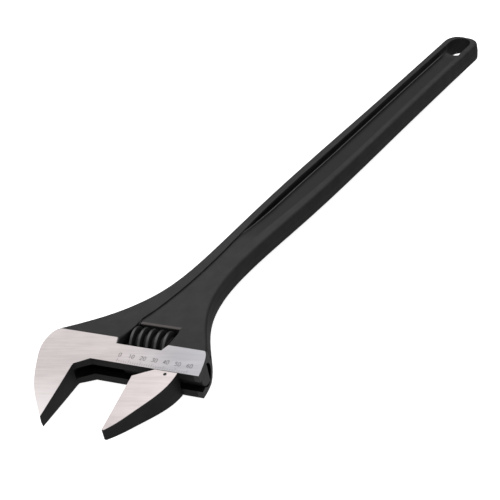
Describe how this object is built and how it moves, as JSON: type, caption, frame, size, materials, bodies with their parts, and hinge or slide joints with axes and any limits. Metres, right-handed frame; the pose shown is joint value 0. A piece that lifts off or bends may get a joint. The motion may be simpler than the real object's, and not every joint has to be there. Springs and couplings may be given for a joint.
{
  "type": "adjustable wrench",
  "caption": "Large adjustable wrench: forged handle with fixed jaw, sliding jaw moved by a worm, ground jaw faces and a hanging hole.",
  "frame": {"origin": "under the middle of the whole tool, on the surface that it lies on", "axes": "+X along the handle away from the head, +Z out of the face with the scale"},
  "size_m": [0.6258, 0.1404, 0.0296],
  "materials": {
    "forged_steel": "black phosphated forging with ground, polished faces",
    "ground_steel": "ground, fine lines along the rail; black sides",
    "worm_steel": "black phosphate, thread crests worn bright",
    "pin_steel": "machined, oiled",
    "spring_steel": "drawn wire"
  },
  "bodies": {
    "handle": {"frame": "forged_steel", "knurl_pin": "pin_steel"},
    "jaw": {"movable_jaw": "ground_steel"},
    "worm": {"knurl": "worm_steel", "knurl_spring": "spring_steel"}
  },
  "joints": [
    {"name": "jaw_slide", "type": "slide", "parent": "handle", "child": "jaw", "axis": [0.2588, -0.9659, 0], "range_m": [-0.0531, 0.009]},
    {"name": "knurl_turn", "type": "hinge", "parent": "handle", "child": "worm", "pos_m": [-0.21136, 0.00957, 0.0148], "axis": [0.2588, -0.9659, 0], "range_deg": [-455, 2660]}
  ],
  "couplings": [
    {"joint": "knurl_turn", "follows": "jaw_slide", "rad_per_m": -872.66}
  ]
}
